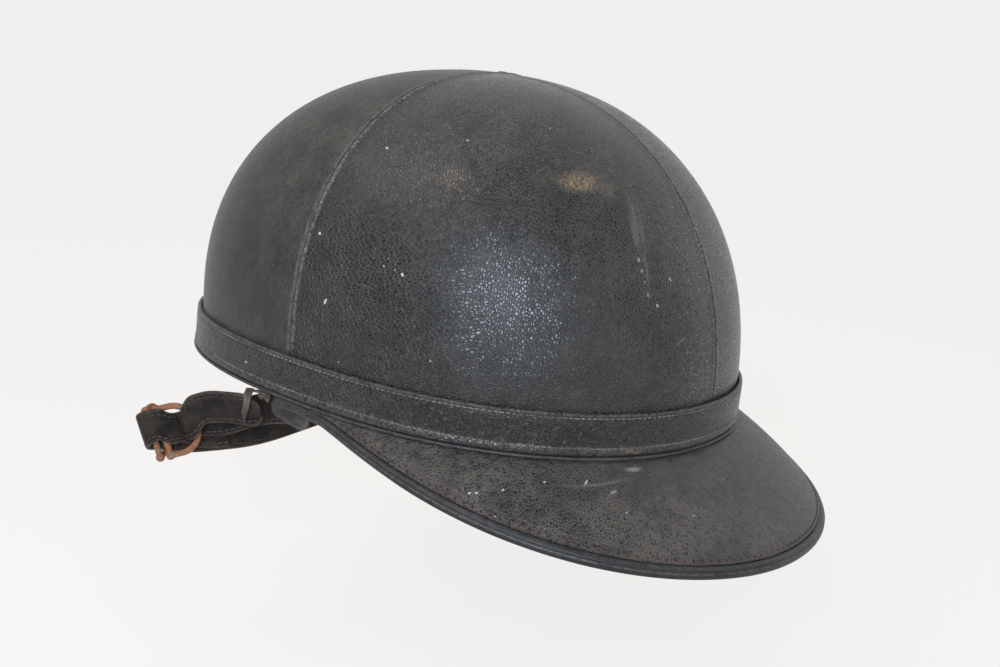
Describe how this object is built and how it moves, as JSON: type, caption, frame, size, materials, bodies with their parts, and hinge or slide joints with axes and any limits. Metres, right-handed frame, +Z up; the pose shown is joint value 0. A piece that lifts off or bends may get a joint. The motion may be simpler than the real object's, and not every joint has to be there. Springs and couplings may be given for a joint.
{
  "type": "peaked half-shell safety cap",
  "caption": "Vintage leathercloth-covered half-shell safety cap for riders, with a stiff peak, cork and felt lining, tape cradle and a leather chin strap with wire rings",
  "frame": {"origin": "Middle of the head opening, in the plane of the rim", "axes": "+Z up through the crown, the brow and peak face -Y, the wearer's left is +X"},
  "size_m": [0.2551, 0.3153, 0.1831],
  "materials": {
    "leathercloth": "black leathercloth with a pebbled grain, semi-gloss, dusted and scuffed",
    "band_leathercloth": "folded black leathercloth with two rows of stitches, semi-gloss",
    "peak_leathercloth": "greyed black leathercloth, matte",
    "piping": "rolled leathercloth edge, rubbed to a soft sheen",
    "shell_composition": "moulded fabric and resin composition, dark brown",
    "board": "pressed fibre board",
    "cork": "pressed cork, open grain",
    "felt": "grey wool felt",
    "sweatband_leather": "dark sweatband leather, worn smooth",
    "webbing": "plain cotton tape",
    "cord": "twisted cotton cord",
    "rivet_steel": "dull plated steel, tarnished",
    "strap_leather": "black strap leather with browned edges and stitch lines",
    "spacer_leather": "raw leather washer",
    "thong_leather": "brown leather lace",
    "ring_wire": "steel wire with orange-brown rust"
  },
  "bodies": {
    "crown": {"shell": "shell_composition", "cover_front_right": "leathercloth", "cover_front_left": "leathercloth", "cover_rear_left": "leathercloth", "cover_rear_right": "leathercloth", "hat_band": "band_leathercloth", "rim_binding": "band_leathercloth", "peak_board": "board", "peak_top_cover": "peak_leathercloth", "peak_under_cover": "peak_leathercloth", "peak_rolled_edge": "piping", "cork_staves": "cork", "crown_cork": "cork", "felt_band": "felt", "sweatband": "sweatband_leather", "cradle_tapes": "webbing", "cradle_cord": "cord", "strap_rivets": "rivet_steel", "rivet_spacers": "spacer_leather", "rim_thong": "thong_leather"},
    "chin_strap": {"strap_tab_right": "strap_leather", "strap_tab_left": "strap_leather", "ring_strap": "strap_leather", "tongue_strap": "strap_leather"},
    "outer_ring": {"ring_outer": "ring_wire"},
    "inner_ring": {"ring_inner": "ring_wire"}
  },
  "joints": [
    {"name": "chin_strap_swing", "type": "hinge", "parent": "crown", "child": "chin_strap", "pos_m": [0, 0.018, 0.009], "axis": [-1, 0, 0], "range_deg": [0, 70], "deforming": ["rim_thong"]},
    {"name": "outer_ring_rock", "type": "hinge", "parent": "chin_strap", "child": "outer_ring", "pos_m": [-0.129, 0.067, -0.0276], "axis": [-0.2106, 0.2695, 0.9397], "range_deg": [-1, 3]},
    {"name": "inner_ring_swing", "type": "hinge", "parent": "chin_strap", "child": "inner_ring", "pos_m": [-0.1311, 0.07132, -0.02931], "axis": [-0.2106, 0.2695, 0.9397], "range_deg": [-18, 68]}
  ]
}
